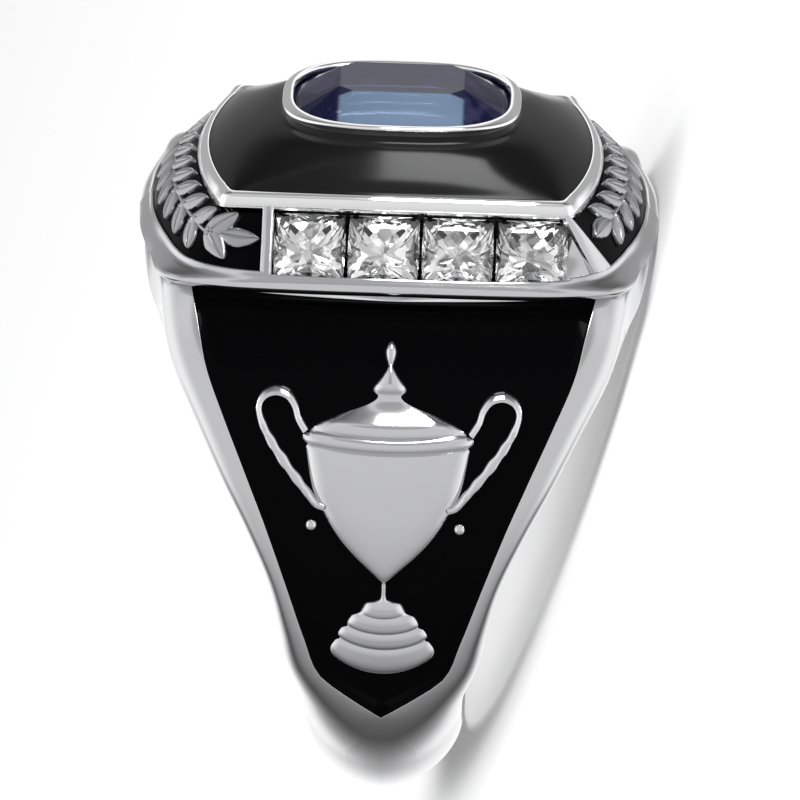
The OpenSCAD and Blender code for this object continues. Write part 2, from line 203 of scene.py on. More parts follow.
def band_shape(angle):
    """Roundness, outer radius and half widths of the band's section at an angle up the front."""
    power = mix(round_power, square_power, clamp((angle - square_from) / (square_full - square_from))**1.5)
    top = mix(band_r, thin_r, clamp((angle - thin_from) / (thin_full - thin_from)))
    return power, top, smooth(band_rows, 1, angle), smooth(band_rows, 2, angle)


def band_side(angle, turn):
    """A point of the section, from the hole's edge at 0 to the crown at 90."""
    power, top, crown, hole = band_shape(angle)
    rise = sin(radians(turn))**(2 / power)
    return mix(hole, crown, rise) * max(cos(radians(turn)), 0)**(2 / power), mix(bore_r - 0.1, top, rise)


def turn_at(angle, column, value):
    """The turn at which the section's width or radius comes to a value."""
    low, high = 0.0, 90.0
    for _ in range(40):
        middle = (low + high) / 2
        width, radius = band_side(angle, middle)
        past = width < value if column == 0 else radius > value
        low, high = (low, middle) if past else (middle, high)
    return middle


# how far the recess's edge falls away: beside it by distance, and at its tip and top by angle
lip = [(0.05, 0.0), (0.02, 0.003), (0.007, 0.01), (0.001, 0.025), (0.0, 0.05), (0.0, recess)]
edge_rows = [(-29.2, 0), (-28.4, 0), (-27.8, 0), (-27.73, 0.02), (-27.7, recess), (-27.2, recess),
             (-26.7, recess), (51.9, recess), (52.0, recess), (52.01, 0.1), (52.08, 0.055), (52.2, 0.026),
             (52.38, 0.008), (52.7, 0)]


def band_section(angle, fall):
    """Half a section, as widths, radii and depths, from the hole's middle round to the crown's middle."""
    hole = band_shape(angle)[3]
    in_hole = [(0.0, bore_r), (hole * 0.5, bore_r)] + [(hole - away, bore_r + up) for away, up in bore_edge]
    if angle < panel_tip:
        half = fan_half * clamp((panel_tip - angle) / fan_angle)**0.8
    else:
        half = panel_half(min(angle, panel_top))
    first, last = turn_at(angle, 1, bore_r + least_wall), turn_at(angle, 0, half + lip[0][0])
    outside = [band_side(angle, mix(first, last, k / 16)) for k in range(17)]
    points = [(x, r, 0.0) for x, r in in_hole + outside]
    for away, drop in lip[1:]:
        drop *= 1 if drop == recess else clamp((angle - panel_tip) / 1.5)
        points.append((half + away, band_side(angle, turn_at(angle, 0, half + away))[1], min(drop, fall)))
    for share in (0.75, 0.4, 0.0):
        x = half * share
        points.append((x, band_side(angle, turn_at(angle, 0, x))[1] if x > 0 else band_shape(angle)[1], fall))
    return points


def edge_rise(x):
    """How far the recess's top edge has risen at a width."""
    return panel_rise * clamp(abs(x) / band_rows[-1][3])**2


def on_front(x, angle, top, drop):
    """A point of the front shoulder, lifted with the recess's top edge near it, and sunk in by a drop."""
    near_top = clamp(1.3 - abs(angle - panel_top) / 8)
    angle += degrees(edge_rise(x) / (band_r * cos(radians(panel_top)))) * near_top
    z, radius = top * sin(radians(angle)), top - drop
    return Vector((x, -sqrt(max(radius**2 - z**2, 0)) if drop else -top * cos(radians(angle)), z))


plain_rows = [(a, recess if panel_tip < a < panel_top else 0.0) for a in range(-90, 91, 2)
              if min(abs(a - edge[0]) for edge in edge_rows) > 0.45]
sections = []
for angle, fall in sorted(plain_rows + edge_rows):
    row = band_section(angle, fall)
    front = [on_front(x, angle, r, drop) for x, r, drop in row]
    sections.append(front + [Vector((-p.x, p.y, p.z)) for p in reversed(front[1:-1])])
back = [[Vector((p.x, -p.y, p.z)) for p in row] for row in reversed(sections[1:-1])]
make_piece("band", loft(sections + back, along=True), polished_steel, "steel", "ring_casting")

# Lips: the recess's top edge on each shoulder, turned up into a narrow bead and cut bright like the head's
# rim. The cut metal is cleaner than the polished, with sharper reflections, and its steel is painted a whiter
# colour than the polished steel: a painted highlight that makes its reflections whiter.
painted_highlight_steel, tree, shader = new_finish(
    "bright_cut_steel_painted_highlight", Base_Color=colour("F4F4F5"), Metallic=1.0, Roughness=0.06)
haze(tree, shader, mm=0.9, detail=3, low=0.04, high=0.1)

# across the bead, back and up from the recess's edge, and its size at the middle and at the corners
lip_bead = [(0.3, -0.12), (0.02, -0.12), (-0.03, -0.095), (-0.055, -0.05), (-0.035, 0.03), (0.0, 0.1),
            (0.04, 0.13), (0.3, 0.14)]
bead_slim, bead_full, slim_to, full_from = 0.45, 1.25, 0.3, 2.9
bead_lift, bead_out, bead_swell = 0.12, 0.02, 0.06


def on_both_sides(bm):
    """Repeats a front shoulder's mesh on the back shoulder."""
    bmesh.ops.mirror(bm, geom=bm.verts[:] + bm.edges[:] + bm.faces[:], matrix=Matrix.Identity(4),
                     merge_dist=-1, axis="Y")
    bmesh.ops.recalc_face_normals(bm, faces=bm.faces)
    return bm


bead_rows = []
for k in range(61):
    x = band_rows[-1][3] * (-1 + k / 30)
    edge = band_r * sin(radians(panel_top)) + edge_rise(x)
    size = mix(bead_slim, bead_full, clamp((abs(x) - slim_to) / (full_from - slim_to)))
    y = -sqrt(band_r**2 - edge**2) - bead_out - bead_swell * (size - 1)
    bead_rows.append([Vector((x, y + dy, edge + (bead_lift + dz) * size)) for dy, dz in lip_bead])
make_piece("panel_lips", on_both_sides(loft(bead_rows)), painted_highlight_steel, "steel", "ring_casting")

# Shoulder enamel: cold black enamel poured into each recess and cured, level but for a small creep up the
# walls. It looks nearly black, with a faint shine and a very slight orange peel.
enamel_r, enamel_t, enamel_lap = 12.60, 0.3, 0.01
creep, creep_reach = 0.07, 0.11
black_enamel, tree, shader = new_finish(
    "black_cold_enamel", Base_Color=colour("030304"), Roughness=0.12, IOR=1.4, Specular_IOR_Level=0.04)
ripple(tree, shader, mm=1.2, strength=0.05, depth=0.05)

# the creep's rows of points, by their distance from the wall, and the height from which the rows rise at
# their ends with the recess's top edge
near_wall = [0.0, 0.03, 0.07, 0.13, 0.22, 0.36]
rise_from = 8


def slab(sections, thickness):
    """Gives a single sheet of points its thickness, away from the side that is seen."""
    bm = loft(sections, around=False)
    seen = sum((f.normal * f.calc_area() for f in bm.faces), Vector())
    middle = sum((v.co for v in bm.verts), Vector()) / len(bm.verts)
    if seen.dot(middle) < 0:
        bmesh.ops.reverse_faces(bm, faces=bm.faces)
    bmesh.ops.solidify(bm, geom=bm.faces[:], thickness=thickness)
    bmesh.ops.recalc_face_normals(bm, faces=bm.faces)
    return bm


low, high = band_r * sin(radians(panel_tip)), band_r * sin(radians(panel_top))
rows = [low + d for d in near_wall] + [mix(low + 0.6, high - 0.6, k / 46) for k in range(47)]
rows += [high - d for d in reversed(near_wall)]
sheet = []
for z in rows:
    half = panel_half(degrees(asin(z / band_r))) + enamel_lap
    row = []
    for k in range(27):
        share = -1 + 2 * k / 26
        x = half * (1 - (1 - abs(share))**1.6) * (1 if share > 0 else -1)
        wall = min((half - abs(x)) * 0.8, high - z)
        radius = enamel_r + creep * exp(-wall / creep_reach)
        lifted = z + edge_rise(x) * clamp((z - rise_from) / (high - rise_from))
        row.append(Vector((x, -sqrt(radius**2 - lifted**2), lifted)))
    sheet.append(row)
make_piece("shoulder_enamel", on_both_sides(slab(sheet, enamel_t)), black_enamel, "black_enamel",
           "shoulder_enamel_front", "shoulder_enamel_back")

# Cups: on each shoulder a trophy cup is cast in relief with the band, and its crown is polished flush with
# it. Each is a lidded bowl on a stem and a stepped foot, with two open handles and a bead by each.
floor_r, root, row_gap = 12.15, 0.3, 0.45
# angle up the front, half width, height of the relief, sag of its middle below its sides, and squareness
cup_rows = [
    (-13.9, 2.02, 0.10, 3.9, 0.36), (-13.8, 2.10, 0.55, 3.9, 0.36), (-13.3, 2.20, 0.72, 3.7, 0.36),
    (-12.0, 2.16, 0.80, 3.0, 0.36), (-10.4, 1.96, 0.78, 2.2, 0.36), (-9.9, 1.86, 0.70, 2.0, 0.36),
    (-9.3, 1.88, 0.77, 1.8, 0.36), (-7.9, 1.72, 0.78, 1.5, 0.36), (-7.4, 1.54, 0.70, 1.3, 0.36),
    (-6.8, 1.50, 0.77, 1.2, 0.36), (-5.3, 1.30, 0.78, 1.0, 0.36), (-4.7, 1.00, 0.70, 0.8, 0.36),
    (-4.1, 0.92, 0.75, 0.8, 0.36), (-2.7, 0.74, 0.74, 0.6, 0.36), (-2.0, 0.20, 0.60, 0.3, 0.36),
    (-1.2, 0.15, 0.56, 0.0, 0.36), (1.3, 0.15, 0.56, 0.0, 0.36), (1.7, 0.30, 0.62, 0.0, 0.36),
    (3.2, 0.66, 0.76, 0.0, 0.36), (6.4, 1.40, 0.86, 0.0, 0.36), (9.6, 1.99, 0.90, 0.0, 0.36),
    (13.4, 2.50, 0.92, 0.1, 0.36), (18.6, 3.03, 0.92, 0.5, 0.36), (25.6, 3.33, 0.88, 1.5, 0.36),
    (26.0, 3.35, 0.82, 1.6, 0.38), (26.4, 3.42, 0.90, 1.7, 0.42), (27.2, 3.50, 1.00, 1.8, 0.45),
    (28.1, 3.44, 0.97, 1.8, 0.45), (28.7, 3.24, 0.86, 1.8, 0.42), (29.2, 3.08, 0.98, 1.7, 0.45),
    (30.1, 2.78, 0.98, 1.5, 0.46), (31.3, 2.32, 0.82, 1.2, 0.46), (32.5, 1.84, 0.65, 1.0, 0.46),
    (33.6, 1.42, 0.54, 0.7, 0.46), (34.8, 0.96, 0.50, 0.5, 0.45), (35.4, 0.78, 0.52, 0.4, 0.45),
    (36.0, 0.78, 0.66, 0.5, 0.45), (36.8, 0.72, 0.78, 0.5, 0.50), (38.4, 0.46, 0.74, 0.3, 0.50),
    (39.8, 0.25, 0.66, 0.1, 0.50), (40.6, 0.17, 0.58, 0.0, 0.50), (41.4, 0.26, 0.70, 0.0, 0.50),
    (42.9, 0.33, 0.82, 0.0, 0.50), (44.3, 0.25, 0.72, 0.0, 0.50), (45.2, 0.07, 0.50, 0.0, 0.50)]


def fair(table, column, x):
    """Reads a column along a curve that keeps the table's steps and never swings past them."""
    def secant(k):
        return (table[k + 1][column] - table[k][column]) / (table[k + 1][0] - table[k][0])

    def slope(k):
        if k == 0 or k == len(table) - 1:
            return secant(0 if k == 0 else k - 1)
        a, b = secant(k - 1), secant(k)
        return 0.0 if a * b <= 0 else 2 * a * b / (a + b)

    return along_curve(table, column, x, slope)


def on_band(x, angle, radius):
    """A point of the front shoulder, by its angle up the front and its radius."""
    return Vector((x, -radius * cos(radians(angle)), radius * sin(radians(angle))))


def together(parts):
    """Joins several meshes of one piece."""
    whole = bmesh.new()
    for bm in parts:
        carried = bpy.data.meshes.new("carried")
        bm.to_mesh(carried)
        bm.free()
        whole.from_mesh(carried)
        bpy.data.meshes.remove(carried)
    return whole


heights = []
for a, b in zip(cup_rows, cup_rows[1:]):
    count = max(2, round((b[0] - a[0]) / row_gap))
    heights += [mix(a[0], b[0], k / count) for k in range(count)]
cup = []
for angle in heights + [cup_rows[-1][0]]:
    half, rise, sag, square = (fair(cup_rows, column, angle) for column in (1, 2, 3, 4))
    arch = []
    for k in range(33):
        a = pi * k / 32
        arch.append(on_band(half * cos(a), angle - sag * sin(a)**2,
                            floor_r - root + (root + rise) * max(sin(a), 0)**square))
    cup.append(arch)
# a handle's middle line from the lid to the bowl, as half width and angle, its size, and the bead below it
handle_rows = [
    (3.25, 27.6), (3.52, 29.6), (3.68, 31.8), (3.98, 33.6), (4.46, 34.2), (4.90, 33.3), (5.08, 31.3),
    (4.92, 28.5), (4.54, 25.4), (4.08, 22.4), (3.52, 19.2), (3.10, 16.9), (2.76, 15.1), (2.42, 14.5)]
handle_r, handle_half, handle_swell, handle_crown, handle_root = 12.60, 0.17, 0.05, 0.28, 0.5
bead_size, bead_x, bead_angle, bead_r = 0.25, 2.9, 11.6, 12.65
path_x = [(k, row[0]) for k, row in enumerate(handle_rows)]
path_z = [(k, band_r * sin(radians(row[1]))) for k, row in enumerate(handle_rows)]
relief = [loft(cup)]
for side in (1, -1):
    tube = []
    for k in range(8 * len(handle_rows) - 7):
        t = k / 8
        centre = Vector((smooth(path_x, 1, t), smooth(path_z, 1, t)))
        ahead = Vector((smooth(path_x, 1, t + 0.05), smooth(path_z, 1, t + 0.05))) - centre
        across = Vector((-ahead.y, ahead.x)).normalized()
        width = handle_half + handle_swell * sin(pi * clamp((t - 6.5) / 5)) * (1 + 0.5 * cos(2 * pi * t))
        ring = []
        for n in range(12):
            a = 2 * pi * n / 12
            x, z = centre + across * width * cos(a)
            radius = handle_r + (handle_crown if sin(a) > 0 else handle_root) * sin(a)
            ring.append(Vector((side * x, -sqrt(radius**2 - z**2), z)))
        tube.append(ring)
    relief.append(loft(tube))
    bead = bmesh.new()
    bmesh.ops.create_uvsphere(bead, u_segments=20, v_segments=12, radius=bead_size)
    bmesh.ops.translate(bead, verts=bead.verts, vec=on_band(side * bead_x, bead_angle, bead_r))
    relief.append(bead)
make_piece("cups", on_both_sides(together(relief)), polished_steel, "steel", "ring_casting")

# Head: the casting's oblong top. A ridge runs round it above the shoulders, a slope rises from the ridge to
# a raised rim, and the rim holds the enamelled dome. Between ridge and rim a trough is left for the ornament.
ridge_z, rim_z = 10.76, 13.3
rim_corner, rim_half_length, rim_half_width = 6.85, 8.02, 6.02
# station, the slope's foot along, across and up, and the ridge along and across. Each quarter of the head has
# six stations, from the middle of its long side at 0 over its corner at 3 to the middle of its end at 6.
head_rows = [
    (0, 0.00, 8.28, 11.12, 0.00, 8.50), (1, 3.60, 8.25, 11.12, 3.90, 8.47),
    (2, 6.60, 7.96, 11.15, 7.00, 8.28), (3, 8.35, 6.90, 11.20, 9.05, 7.48),
    (4, 9.30, 4.60, 11.25, 9.66, 5.20), (5, 9.80, 2.30, 11.25, 10.14, 2.66),
    (6, 9.95, 0.00, 11.25, 10.30, 0.00)]
end_swell, squareness = 0.25, 2.9
even_steps = {24 * k / 288 for k in range(288)}
corner_steps = {6 * q + 3 + d / 50 for q in range(4) for d in range(-12, 13)}
stations = sorted(even_steps | corner_steps)


def quarter(s):
    """Which quarter of the head a station is in, and how far from the middle of its long side."""
    s = s % 24
    q = int(s / 6 + 1e-6) % 4
    r = s - int(s / 6 + 1e-6) * 6
    return q, max(r if q % 2 == 0 else 6 - r, 0.0)


def turned(s, x, y, z):
    """Moves a point of the first quarter to a station's own quarter."""
    q = quarter(s)[0]
    return Vector((x if q < 2 else -x, -y if q in (0, 3) else y, z))


def foot_at(s):
    """The foot of the slope."""
    q = quarter(s)[1]
    return turned(s, smooth(head_rows, 1, q), smooth(head_rows, 2, q), smooth(head_rows, 3, q))


def ridge_at(s, inset, z):
    """The ridge's outline, at an inset and a height."""
    q = quarter(s)[1]
    across = smooth(head_rows, 5, q) - inset * min(1, 2 - q / 6)
    return turned(s, smooth(head_rows, 4, q) - inset, across, z)


def pillow_line(s, inset, z):
    """The rim's outline: straight along the sides, bowed out at the ends, with sharp corners."""
    q = quarter(s)[1]
    c, w, t = rim_corner - inset * 0.85, rim_half_width - inset, (q - 3) / 3
    if q <= 3:
        return turned(s, c * q / 3, w, z)
    bow = rim_half_length - rim_corner - inset * 0.15
    return turned(s, c + bow * (1 - (1 - t)**2), w * (1 - t), z)


def pillow_at(s, inset, z):
    """The rim's outline with its corners just broken."""
    if abs(quarter(s)[1] - 3) > 0.25:
        return pillow_line(s, inset, z)
    return sum((pillow_line(s + d / 50, inset, z) for d in range(-6, 7)), Vector()) / 13


def cushion_at(s, half_x, half_y, z):
    """The stone's outline, an oval made a little square."""
    a, power = radians(90 - 15 * quarter(s)[1]), 2 / squareness
    return turned(s, half_x * max(cos(a), 0)**power, half_y * max(sin(a), 0)**power, z)


def slope_point(s, v):
    """The slope from its foot at 0 to the rim at 1, a little swollen at the head's ends."""
    foot, top = foot_at(s), pillow_at(s, 0, rim_z)
    out = Vector((foot.x - top.x, foot.y - top.y, hypot(foot.x - top.x, foot.y - top.y))).normalized()
    return foot.lerp(top, v) + out * end_swell * clamp((quarter(s)[1] - 3) / 2) * 4 * v * (1 - v)


def slope_out(s):
    """The way that the slope faces."""
    along = slope_point(s + 0.12, 0.5) - slope_point(s - 0.12, 0.5)
    out = along.cross(slope_point(s, 0.9) - slope_point(s, 0.1)).normalized()
    return out if out.z > 0 else -out


def clear_of_bore(p):
    """Keeps a point out of the finger hole."""
    away = max(1, (bore_r + least_wall) / hypot(p.y, p.z))
    return Vector((p.x, p.y * away, p.z * away))


# the row of stones along the head, and the channel that it stands in, deeper than the trough and with a
# narrower border; its width is down the slope, and its walls' height is below the slope
row_start, channel_end = -4.8, 6.8
narrow_from, narrow_to = row_start - 0.23, channel_end + 0.05
narrow_border, wide_border, channel_deep, trough_deep = 0.067, 0.1, 2.4, 0.8
channel_w, wall_low, wall_high = 3.1, -3.4, -0.6
# inset and height of the rows of points under the ridge, and of those that round it over
under_rows = [(1.3, 8.7), (0.8, 10.1), (0.6, ridge_z - 0.36)]
ridge_rows = [(0.36, -0.28), (0.2, -0.21), (0.09, -0.12), (0.03, -0.03), (0.0, 0.06), (0.03, 0.12)]
# share and drop of the rows of points on the slope, along the trough's lower and upper edges
low_edge, high_edge = [(-0.01, 0.008), (-0.003, 0.025), (0.0, 0.06)], [(0.985, 0.05), (0.99, 0.012)]
# the head's inside, hidden under the dome: inset and height along the rim, then half sizes and height
rim_root, dome_root = [(0.1, 13.2), (1.3, 13.2)], [(3.6, 2.9, 13.4), (3.4, 2.7, 11.5)]
sections = []
for s in stations:
    q = quarter(s)[1]
    out, foot = slope_out(s), foot_at(s)
    x = slope_point(s, 0.08).x
    border = narrow_border if q < 3 and narrow_from < x < narrow_to else wide_border
    deep = mix(channel_deep, trough_deep, clamp((q - 2.3) / 0.7))
    ring = [clear_of_bore(ridge_at(s, inset, z)) for inset, z in under_rows]
    ring += [ridge_at(s, inset, ridge_z + up) for inset, up in ridge_rows]
    ring += [ring[-1].lerp(foot, share) + out * 0.02 for share in (0.35, 0.7)]
    ring += [foot, slope_point(s, border * 0.4), slope_point(s, border - 0.026)]
    ring += [slope_point(s, border + share) - out * drop for share, drop in low_edge + [(0.0, deep)]]
    ring += [slope_point(s, share) - out * drop for share, drop in [(0.985, deep)] + high_edge]
    ring += [pillow_at(s, inset, z) for inset, z in rim_root]
    ring += [cushion_at(s, half_x, half_y, z) for half_x, half_y, z in dome_root]
    sections.append(ring)
head = loft(sections, along=True)
slope_angle = atan2(rim_z - head_rows[0][3], head_rows[0][2] - rim_half_width)
on_slope = (Matrix.Translation((0, -rim_half_width, rim_z)) @ Matrix.Rotation(slope_angle, 4, "X")
            @ Matrix.Scale(-1, 4, (0, 1, 0)))
# faces on the channel's walls take the second finish, the dark grey of painted shade
for face in head.faces:
    corners = [on_slope.inverted() @ Vector((v.co.x, -abs(v.co.y), v.co.z)) for v in face.verts]
    if all(row_start - 0.5 < p.x < channel_end + 0.4 and 0 < p.y < channel_w for p in corners):
        face.material_index = 1 if wall_low < min(p.z for p in corners) < wall_high else 0
head = make_piece("head", head, polished_steel, "steel", "ring_casting")
# the channel's walls are dull steel painted a dark grey, which stands for the shade deep in the channel, so
# that the stones stand out from them
channel_shade_steel = new_finish(
    "dull_steel_painted_channel_shade", Base_Color=colour("484849"), Metallic=1.0, Roughness=0.45)[0]
head.data.materials.append(channel_shade_steel)

# Rim: the raised edge that holds the enamelled dome, rolled over and cut bright. At the head's ends it is
# slimmer, and slanted a little outward, which turns it grey there.
rim_profile = [
    (0.1, 13.1), (0, 13.2), (0, 13.31), (0.012, 13.42), (0.035, 13.51), (0.07, 13.585), (0.12, 13.65),
    (0.19, 13.705), (0.28, 13.742), (0.37, 13.75), (0.45, 13.738), (0.5, 13.712), (0.525, 13.68),
    (0.53, 13.64), (0.53, 13.1)]
rim_w, slimmer, slant = 0.53, 0.84, 0.42


def rim_at(s, inset, z):
    """The rim's profile follows its outline, slimmer along the head's ends."""
    return pillow_at(s, inset * mix(1, slimmer, clamp((quarter(s)[1] - 2.8) / 0.8)), z)


def end_fall(s, away, first, full):
    """How far an edge falls, at a distance out from its top, as the slant comes in between two stations."""
    share = clamp((quarter(s)[1] - first) / (full - first))
    return slant * share**2 * (3 - 2 * share) * max(away, 0)


rim = [[rim_at(s, a, z - end_fall(s, 0.5 - a, 2.9, 3.5)) for a, z in rim_profile] for s in stations]
# the rim is made in the whiter steel, whose colour is a painted highlight
make_piece("rim", loft(rim, along=True), painted_highlight_steel, "steel", "ring_casting")


# Bars: plain strips of the casting that part the ornament from the stones, one straight across the slope and
# one along the head's corner, with a bright bevelled facet beside it.
def station_on(line, v, low, high):
    """The station at which the slope, v of the way up, crosses a line seen from above."""
    (ax, ay), (bx, by) = line

    def side(s):
        p = slope_point(s, v)
        return (p.x - ax) * (by - ay) - (p.y - ay) * (bx - ax)

    if side(low) * side(high) > 0:
        return low if abs(side(low)) < abs(side(high)) else high
    for _ in range(40):
        middle = (low + high) / 2
        low, high = (middle, high) if side(low) * side(middle) > 0 else (low, middle)
    return (low + high) / 2


def strip(first, second, profile, reach, low, high):
    """A strip of the slope between two lines, shaped across by a profile of share and drop."""
    rows = []
    for k in range(25):
        v = mix(*reach, k / 24)
        a, b = station_on(first, v, low, high), station_on(second, v, low, high)
        places = [(mix(a, b, share), drop) for share, drop in profile]
        rows.append([slope_point(s, v) - slope_out(s) * drop for s, drop in places])
    return rows


bar_profile = [(0, 2.3), (0, 0.09), (0.03, 0.045), (0.09, 0.018), (0.2, 0.004), (0.5, 0.0), (0.8, 0.004),
               (0.91, 0.018), (0.97, 0.045), (1, 0.09), (1, 2.3)]
facet_profile = [(-0.02, 1.4), (-0.02, 0.5), (0.5, 0.42), (1.02, 0.34), (1.02, 1.4)]
# the lines that bound the strips, seen from above
bar_w = 0.46
left_edge = ((row_start - bar_w, -9), (row_start - bar_w, -5))
right_edge = ((row_start, -9), (row_start, -5))
corner_line = ((6.98, -6.0), (8.62, -6.36))
wedge_line = ((channel_end - 0.02, -6.2), (8.05, -7.3))
stone_line = ((channel_end, -9), (channel_end, -5))
bars = [loft(strip(left_edge, right_edge, bar_profile, (0.05, 1.0), 19, 24)),
        loft(strip(wedge_line, corner_line, bar_profile, (0.05, 1.0), 0, 6)),
        loft(strip(stone_line, wedge_line, facet_profile, (0.06, 1.0), 0, 6))]
make_piece("bars", on_both_sides(together(bars)), polished_steel, "steel", "ring_casting")

# Ornament: laurel leaves cast in relief round both ends of the head, sandblasted on their sides and rubbed on
# top, standing in black enamel. The blast leaves a soft grain that breaks up the reflections.
satin_steel, tree, shader = new_finish(
    "satin_stainless_steel", Base_Color=colour("AAAAAC"), Metallic=1.0, Roughness=0.28)
haze(tree, shader, mm=0.25, detail=3, low=0.2, high=0.36)
ripple(tree, shader, mm=0.08, strength=0.15, depth=0.01)

leaf_length, leaf_w, leaf_splay, leaf_step = 1.62, 0.8, 46, 0.62
leaf_cross = [
    (-1, -0.5), (-1, -0.09), (-0.85, -0.035), (-0.5, 0.0), (-0.16, 0.0), (-0.05, -0.05), (0.05, -0.05),
    (0.16, 0.0), (0.5, 0.0), (0.85, -0.035), (1, -0.09), (1, -0.5)]
twig_v, twig_half, twig_rise, twig_drop = 0.55, 0.11, 0.16, 0.24


def leaf(s, splay):
    """One leaf, wrapped on the slope at a station, or lying flat where the slope turns its corner."""
    way = -1 if s < 12 else 1
    ahead = slope_point(s + 0.1, twig_v) - slope_point(s - 0.1, twig_v)
    per_station = ahead.length / 0.2
    per_height = (slope_point(s, 0.7) - slope_point(s, 0.4)).length / 0.3
    out = slope_out(s)
    ahead = ahead.normalized() * way
    side = out.cross(ahead)
    flat = s > 18 and quarter(s)[1] < 3.2
    rows = []
    for k in range(15):
        u = (1 - cos(pi * k / 14)) / 2
        half = 0.5 * leaf_w * sin(pi * u**0.85)**0.7 if 0 < k < 14 else 0.0
        bend = 0.06 * sin(pi * u) * (1 if splay > 0 else -1)
        row = []
        for w, h in leaf_cross:
            a, b = u * leaf_length - leaf_w / 3, half * w + bend
            along, up = a * cos(splay) - b * sin(splay), a * sin(splay) + b * cos(splay)
            place = s + way * along / per_station
            sunk = h if half or h < -0.2 else -0.09
            if flat:
                row.append(slope_point(s, twig_v) + ahead * along + side * up + out * sunk)
            else:
                row.append(slope_point(place, twig_v + way * up / per_height) + slope_out(place) * sunk)
        rows.append(row)
    return loft(rows)


def stem(first, last):
    """The twig that the leaves grow from."""
    rows = []
    for k in range(81):
        s = mix(first, last, k / 80)
        along = (slope_point(s + 0.1, 0.5) - slope_point(s - 0.1, 0.5)).normalized()
        out = slope_out(s)
        side = out.cross(along)
        middle = slope_point(s, twig_v) - out * twig_drop
        rows.append([middle + side * twig_half * cos(a) + out * twig_rise * sin(a)
                     for a in (2 * pi * n / 10 for n in range(10))])
    return loft(rows)


ground_from, ground_to, ground_drop, ground_t, tip_reach = 0.098, 0.986, 0.28, 0.3, 0.34
# each end's name, first leaf's station, number of leaf pairs, the way they run, and the ground's front edge,
# which its back edge mirrors, with the stations between which each lies
for name, start, pairs, way, edge, at_front, at_back in (
        ("left", 14.3, 12, 1, left_edge, (18, 24), (12, 18)),
        ("right", 8.6, 8, -1, corner_line, (0, 6), (6, 12))):
    places = [start + way * leaf_step * i for i in range(pairs)]
    sprigs = [leaf(s, radians(side * leaf_splay)) for s in places for side in (-1, 1)]
    sprigs.append(leaf(places[-1] + way * tip_reach, 0.0))
    sprigs.append(stem(places[0], places[-1]))
    make_piece("laurel_" + name, together(sprigs), satin_steel, "steel", "ring_casting")
    ground = []
    for k in range(15):
        v = mix(ground_from, ground_to, k / 14)
        a, b = station_on(edge, v, *at_front), station_on([(x, -y) for x, y in edge], v, *at_back)
        ground.append([slope_point(mix(a, b, n / 96), v) - Vector((0, 0, ground_drop)) for n in range(97)])
    make_piece("laurel_enamel_" + name, slab(ground, ground_t), black_enamel, "black_enamel",
               "leaf_enamel_" + name)

# Top enamel: the black dome between the rim and the stone's collar, poured and polished to a soft shine that
# spreads the room's light into broad grey patches.
top_enamel, tree, shader = new_finish(
    "polished_black_enamel", Base_Color=colour("0A0A0B"), Roughness=0.17, IOR=1.3)
ripple(tree, shader, mm=2.4, strength=0.06, depth=0.1)

collar_x, collar_y = 4.72, 3.74
# the dome's height at the rim and at the collar, how far it swells between, and its creep up both walls
dome_low, dome_high, dome_swell = 13.69, 15.2, 0.75
rim_creep, collar_creep, dome_creep_reach = 0.03, 0.26, 0.02


def dome_at(s, t):
    """The dome from the rim at 0 to the collar at 1."""
    outer, inner = rim_at(s, rim_w + 0.002, 0), cushion_at(s, collar_x - 0.13, collar_y - 0.13, 0)
    height = mix(dome_low, dome_high, (1 + dome_swell) * t - dome_swell * t * t)
    height += rim_creep * exp(-t / dome_creep_reach) + collar_creep * exp(-(1 - t) / dome_creep_reach)
    return outer.lerp(inner, t) + Vector((0, 0, height))


sections = []
for s in stations:
    line = []
    for k in range(25):
        t = (1 - cos(pi * k / 24)) / 2
        # the rim's corners are smoothed out on the way to the collar, each point over its neighbours
        reach = 1.3 * sin(pi * t)
        line.append(sum((dome_at(s + reach * d / 4, t) for d in range(-4, 5)), Vector()) / 9)
    sections.append(line + [cushion_at(s, collar_x - 0.15, collar_y - 0.15, 14.7), rim_at(s, 0.6, 13.4)])
make_piece("dome_enamel", loft(sections, along=True), top_enamel, "black_enamel", "top_enamel")

# Collar: a tube of steel soldered into the dome, turned over the blue stone's edge all the way round and
# burnished to a rounded lip.
rings = [
    (4.52, 3.54, 14.2), (4.57, 3.59, 15.4), (4.7, 3.72, 15.7), (collar_x, collar_y, 15.755),
    (4.71, 3.73, 15.8), (4.68, 3.7, 15.83), (4.6, 3.62, 15.848), (4.48, 3.5, 15.85), (4.38, 3.4, 15.84),
    (4.31, 3.33, 15.8), (4.275, 3.295, 15.73), (4.262, 3.282, 15.6), (4.28, 3.3, 15.5), (4.36, 3.38, 15.43),
    (4.49, 3.49, 15.39), (4.49, 3.49, 15.2), (3.9, 2.95, 14.7), (1.5, 0.9, 12.6)]
lip_x, lip_z = 4.31, 15.5
collar = []
for x, y, z in rings:
    away = x - lip_x if z > lip_z else 0
    collar.append([cushion_at(s, x, y, z - end_fall(s, away, 1.0, 5.0)) for s in stations])
# the collar is made in the whiter steel too, whose colour is a painted highlight
make_piece("stone_collar", loft(collar), painted_highlight_steel, "steel", "ring_casting")

# Centre stone: a long cushion-cut blue stone with a broad table. Its body is dark and violet under the table,
# with navy painted shade in the corners and painted pale blue light behind the long facets. Its index is
# matched, below that of a real stone, so that the table's own reflection stays thin and the body shows
# through.
blue_stone, tree, shader = new_finish("cut_blue_stone", Roughness=0.0, IOR=1.25, Transmission_Weight=0.4)
place = add(tree, "ShaderNodeTexCoord")
far = {}
for key, axis in (("x", (1, 0, 0)), ("y", (0, 1, 0))):
    axis_mm = (lay.to_3x3() @ Vector(axis)).normalized() * 1000
    along = add(tree, "ShaderNodeVectorMath", {"operation": "DOT_PRODUCT", 1: axis_mm},
                {0: place.outputs["Object"]})
    away = add(tree, "ShaderNodeMath", {"operation": "ABSOLUTE"}, {0: along.outputs["Value"]})
    far[key] = away.outputs["Value"]


